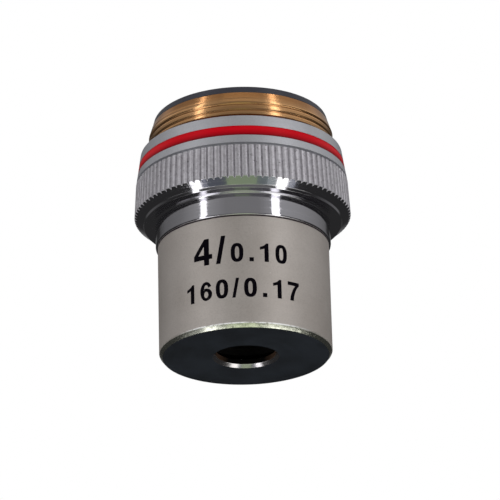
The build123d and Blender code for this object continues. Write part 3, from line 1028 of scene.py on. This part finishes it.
# Glow of the tent's wall once round: from behind over the left, the front and the right
TENT_TURN = (
    (0.00, 0.22), (0.03, 0.20), (0.07, 0.03), (0.10, 0.03), (0.12, 0.09), (0.16, 0.15),
    (0.26, 0.21), (0.36, 0.38), (0.44, 0.24), (0.56, 0.24), (0.63, 0.42), (0.72, 0.34),
    (0.82, 0.24), (0.88, 0.16), (0.905, 0.03), (0.93, 0.02), (0.97, 0.20), (1.00, 0.22),
)
# Glow of the tent's foot: dark but for a paler stretch in front
TENT_FOOT_TURN = ((0.36, 0.03), (0.43, 0.17), (0.57, 0.17), (0.64, 0.03))
# Glow of the band above the wall, and its share at each elevation in degrees
TENT_TOP_TURN = (
    (0.00, 0.4), (0.11, 0.4), (0.17, 1.15), (0.25, 1.1), (0.36, 0.7), (0.44, 0.30),
    (0.56, 0.35), (0.64, 0.9), (0.72, 1.6), (0.82, 1.4), (0.88, 0.5), (1.00, 0.4),
)
TENT_TOP_SHARE = ((26, 0.0), (32, 0.66), (39, 0.66), (45, 0.12), (80, 0.10))
# The foot's glow gives way to the wall's over the first degrees above the horizon
TENT_FOOT_FADE = 13


def oblong(left, near, right, far):
    """The corners of an oblong, square to the table's edges."""
    return (left, near), (right, near), (right, far), (left, far)


# Each card: name, lift above the card height, colour of its glow, and corners
CARDS = (
    # Bright cards low at both sides: the flares on the underside and the front edge
    ("low_card_left", 0.0, (2.3, 2.3, 2.3), (
        (-0.24, -0.15), (-0.11, -0.15), (-0.112, 0.06), (-0.135, 0.06), (-0.15, -0.02),
        (-0.24, -0.04),
    )),
    ("low_strip_left", 0.001, (2.3, 2.3, 2.3), (
        (-0.15, -0.15), (-0.36, -0.32), (-0.42, -0.27), (-0.24, -0.13),
    )),
    ("low_strip_right", 0.001, (1.6, 1.6, 1.5), (
        (0.12, -0.15), (0.33, -0.38), (0.40, -0.34), (0.18, -0.15),
    )),
    ("low_card_right", 0.0, (1.9, 1.9, 1.8), (
        (0.09, -0.15), (0.24, -0.15), (0.40, 0.03), (0.20, -0.02), (0.09, -0.02),
    )),
    ("low_column_right", 0.001, (2.8, 2.8, 2.7), (
        (0.096, -0.04), (0.126, -0.04), (0.125, 0.055), (0.097, 0.055),
    )),
    # Fainter cards outside them: the way the flares fade towards the sides
    ("side_card_left", 0.0, (0.5, 0.5, 0.5), (
        (-0.24, -0.12), (-0.40, 0.0), (-0.36, 0.12), (-0.24, 0.0),
    )),
    ("side_card_right", 0.0, (0.36, 0.38, 0.42), (
        (0.124, -0.02), (0.156, -0.02), (0.148, 0.06), (0.124, 0.06),
    )),
    # A card under the tent's roof
    ("roof_card", 1.16, (0.62, 0.60, 0.55), (
        (-0.30, -0.66), (0.34, -0.66), (0.30, -0.44), (-0.26, -0.44),
    )),
    # What the polished underside mirrors: a grey table, paler at its ends, with a green cloth
    # in the middle, and a pale card in front of it
    ("table_left", 0.0, (0.11, 0.12, 0.14), oblong(-0.11, -0.66, -0.03, 0.05)),
    ("table_glow_left", 0.002, (0.24, 0.25, 0.30), oblong(-0.11, -0.10, -0.094, 0.05)),
    ("table_right", 0.0, (0.17, 0.20, 0.20), oblong(0.03, -0.66, 0.09, 0.04)),
    ("table_glow_right", 0.002, (0.36, 0.40, 0.40), oblong(0.068, -0.10, 0.093, 0.05)),
    ("green_cloth", 0.003, (0.28, 0.35, 0.22), (
        (-0.11, -0.66), (0.11, -0.66), (0.037, 0.03), (-0.037, 0.03),
    )),
    ("front_card", 0.006, (0.78, 0.84, 0.65), oblong(-0.11, -0.26, 0.09, -0.10)),
)

# Two upright strip lamps, each with a leaning upper half: name, degrees from the front to the
# right, height of its middle, length, lean in degrees, width and radiance
LAMP_DISTANCE = 0.5
LAMPS = (
    ("strip_left", -51.7, 0.02, 0.56, 0, 0.066, 2.65),
    ("strip_left_top", -60.6, 0.62, 0.66, 14, 0.066, 2.65),
    ("strip_right", 43.6, 0.02, 0.56, 0, 0.084, 2.75),
    ("strip_right_top", 52.5, 0.62, 0.66, -14, 0.084, 2.75),
)

# The camera, as fitted to the photograph: place, and turns in degrees
CAMERA_PLACE = (0.0, -0.30049, -0.10978)
CAMERA_YAW = 0.136
CAMERA_PITCH = 22.118
CAMERA_ROLL = -1.441


def stage_object(name, data, material, glossy_only=True):
    """The floor, or a part of the studio that is only seen as a reflection."""
    data.materials.append(material)
    item = new_object(name, data)
    if glossy_only:
        for ray in ("camera", "diffuse", "transmission", "shadow"):
            setattr(item, "visible_" + ray, False)


def sheet(name, corners, height):
    """A level mesh of one face, from its corners."""
    mesh = bmesh.new()
    mesh.faces.new([mesh.verts.new((x, y, height)) for x, y in corners])
    return mesh_data(name, mesh)


def seen_by_eye(tree, dim, bright):
    """A strength, bright for what the camera sees, straight or by way of metal or glass."""
    ray = add(tree, "ShaderNodeLightPath")
    rays = {0: ray["Is Camera Ray"], 1: ray["Is Glossy Ray"]}
    seen = add(tree, "ShaderNodeMath", rays, operation="MAXIMUM")[0]
    rays = {0: seen, 1: ray["Is Transmission Ray"]}
    seen = add(tree, "ShaderNodeMath", rays, operation="MAXIMUM")[0]
    spread = {"Value": seen, "To Min": dim, "To Max": bright}
    return add(tree, "ShaderNodeMapRange", spread)["Result"]


def floor_material():
    """Matt white paper, lifted towards the white of the background where it is looked at."""
    colours = {"Base_Color": rgb("#f4f4f2"), "Emission_Color": rgb("#ffffff")}
    material, tree, shader = start_material("white_paper", Roughness=0.9, **colours)
    tree.links.new(seen_by_eye(tree, 0.0, 0.36), shader.inputs["Emission Strength"])
    return material


def glow(name, colour, strength=1.0):
    """A plain glowing material, with its tree and its emission."""
    material = bpy.data.materials.new(name)
    material.use_nodes = True
    tree = material.node_tree
    tree.nodes.clear()
    lit = add(tree, "ShaderNodeEmission", {"Color": (*colour, 1.0), "Strength": strength})[0]
    add(tree, "ShaderNodeOutputMaterial", {"Surface": lit})
    return material, tree, lit.node


def tent_material():
    """Inside of a grey light tent: lighter in front, dark towards the sides and below."""
    material, tree, lit = glow("light_tent", (0.0, 0.0, 0.0), TENT_STRENGTH)
    place = add(tree, "ShaderNodeTexCoord")["Object"]
    parts = add(tree, "ShaderNodeSeparateXYZ", {0: place})
    forward = add(tree, "ShaderNodeMath", {0: parts[1], 1: -1.0}, operation="MULTIPLY")[0]
    angle = add(tree, "ShaderNodeMath", {0: parts[0], 1: forward}, operation="ARCTAN2")[0]
    circle = {"Value": angle, "From Min": -pi, "From Max": pi}
    turn = add(tree, "ShaderNodeMapRange", circle)["Result"]
    glows = []
    for table in (TENT_TURN, TENT_FOOT_TURN, TENT_TOP_TURN):
        stops = [(share, glowing / TENT_STRENGTH) for share, glowing in table]
        glows.append(add(tree, "ShaderNodeValToRGB", {0: turn}, stops)[0])
    wall, foot, top = glows
    level = add(tree, "ShaderNodeVectorMath", {0: place}, operation="NORMALIZE")[0]
    rise = add(tree, "ShaderNodeSeparateXYZ", {0: level})[2]
    fade = {"Value": rise, "From Max": sin(radians(TENT_FOOT_FADE)), "To Min": 1.0, "To Max": 0.0}
    beneath = add(tree, "ShaderNodeMapRange", fade)["Result"]
    stops = [(sin(radians(angle)), share) for angle, share in TENT_TOP_SHARE]
    tone = laid_over(tree, laid_over(tree, wall, foot, beneath), top, rise, stops)
    tree.links.new(tone, lit.inputs["Color"])
    return material


def tent_and_cards():
    """The floor, the tent round the object, and the cards that its metal mirrors."""
    corners = oblong(-FLOOR_REACH, -FLOOR_REACH, FLOOR_REACH, FLOOR_REACH)
    stage_object("floor", sheet("floor", corners, FLOOR_HEIGHT), floor_material(), False)

    tent = bmesh.new()
    line = [(Vector((radius / MM, height / MM)), "tent") for radius, height in TENT_OUTLINE]
    revolve(tent, line, even_angles(96), ["tent"], closed=False)
    stage_object("light_tent", mesh_data("light_tent", tent), tent_material())

    for name, lift, colour, corners in CARDS:
        card = sheet(name, corners, CARD_HEIGHT + lift)
        stage_object(name, card, glow(name, colour)[0])


def lamps():
    """The strip lamps, facing the axis."""
    for name, azimuth, level, length, lean, width, radiance in LAMPS:
        lamp = bpy.data.lights.new(name, "AREA")
        lamp.shape = "RECTANGLE"
        lamp.size = width
        lamp.size_y = length
        lamp.energy = radiance * pi * width * length
        item = new_object(name, lamp)
        direction = Vector((sin(radians(azimuth)), -cos(radians(azimuth)), 0))
        item.location = Vector((0, 0, level)) + direction * LAMP_DISTANCE
        upright = (-direction).to_track_quat("-Z", "Y").to_matrix()
        item.rotation_euler = (upright @ Matrix.Rotation(radians(lean), 3, "Z")).to_euler()
        item.visible_camera = False


def background():
    """White where it is looked at, and dimmer as a light."""
    world = bpy.data.worlds.new("white_studio")
    bpy.context.scene.world = world
    world.use_nodes = True
    tree = world.node_tree
    tree.nodes.clear()
    white = {"Color": "#ffffff", "Strength": seen_by_eye(tree, 0.55, 1.0)}
    lit = add(tree, "ShaderNodeBackground", white)[0]
    add(tree, "ShaderNodeOutputWorld", {"Surface": lit})


def photo_camera():
    """A long lens from below the front face."""
    lens = bpy.data.cameras.new("camera")
    lens.lens = 215.0
    lens.sensor_width = 36.0
    lens.clip_start = 0.01
    lens.clip_end = 10.0
    camera = new_object("camera", lens)
    camera.matrix_world = (
        Matrix.Translation(CAMERA_PLACE)
        @ Matrix.Rotation(-radians(CAMERA_YAW), 4, "Z")
        @ Matrix.Rotation(pi / 2 + radians(CAMERA_PITCH), 4, "X")
        @ Matrix.Rotation(radians(CAMERA_ROLL), 4, "Z")
    )
    bpy.context.scene.camera = camera
    bpy.context.scene.view_settings.view_transform = "Standard"


tent_and_cards()
lamps()
background()
photo_camera()
